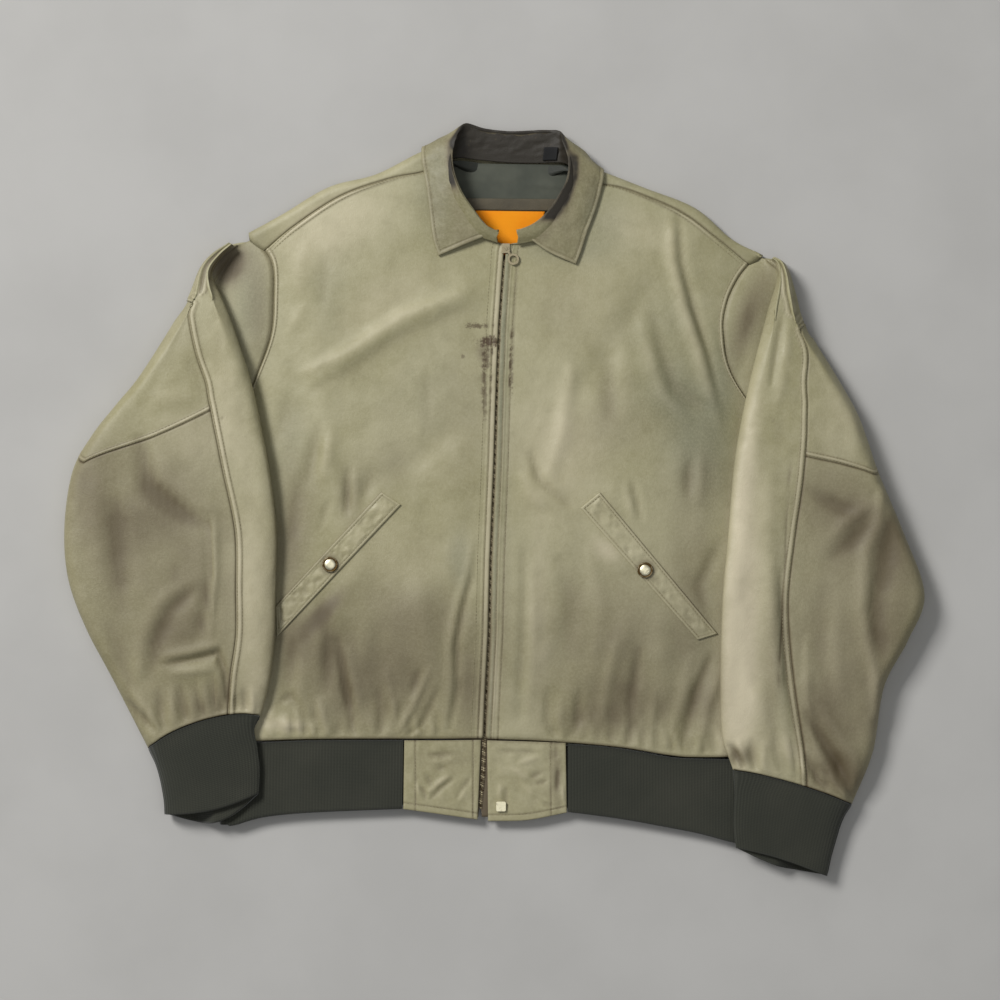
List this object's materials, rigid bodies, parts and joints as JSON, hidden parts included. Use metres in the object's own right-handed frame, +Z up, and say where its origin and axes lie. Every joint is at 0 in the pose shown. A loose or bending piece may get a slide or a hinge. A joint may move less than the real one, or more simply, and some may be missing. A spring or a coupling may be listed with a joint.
{
  "type": "worn leather jacket",
  "caption": "Worn olive leather bomber jacket laid flat on its back, zipped, with knit cuffs and waistband, shirt collar and slanted snapped pockets.",
  "frame": {"origin": "on the surface that the jacket lies on, under the middle of its outline", "axes": "+Z up from the surface through the front, +Y towards the collar, +X towards the wearer's left sleeve"},
  "size_m": [0.8174, 0.7164, 0.0363],
  "materials": {
    "leather": "worn, semi matt, olive faded to khaki with brown dirt in the folds",
    "collar_leather": "worn, with a dark soiled roll line",
    "knit": "matt rib knit",
    "lining": "matt grey green cloth",
    "label": "plain woven label",
    "tab_cloth": "plain black tab",
    "tape": "woven zip tape",
    "brass": "aged, half polished"
  },
  "bodies": {
    "jacket": {"back": "leather", "waistband": "knit", "collar": "collar_leather", "neck_lining": "lining", "neck_strip": "collar_leather", "neck_label": "label", "size_tab": "tab_cloth", "zip_slider": "brass", "zip_box": "brass", "front_right": "leather", "sleeve_front_right": "leather", "sleeve_back_upper_right": "leather", "sleeve_back_lower_right": "leather", "cuff_right": "knit", "waist_tab_right": "leather", "zip_tape_right": "tape", "pocket_welt_right": "leather", "snap_right": "brass", "front_left": "leather", "sleeve_front_left": "leather", "sleeve_back_upper_left": "leather", "sleeve_back_lower_left": "leather", "cuff_left": "knit", "waist_tab_left": "leather", "zip_tape_left": "tape", "pocket_welt_left": "leather", "snap_left": "brass"},
    "zip_pull": {"zip_pull": "brass"}
  },
  "joints": [
    {"name": "zip_pull_hinge", "type": "hinge", "parent": "jacket", "child": "zip_pull", "pos_m": [0.01111, 0.23892, 0.02438], "axis": [-0.829, -0.5592, 0], "range_deg": [0, 150]}
  ]
}
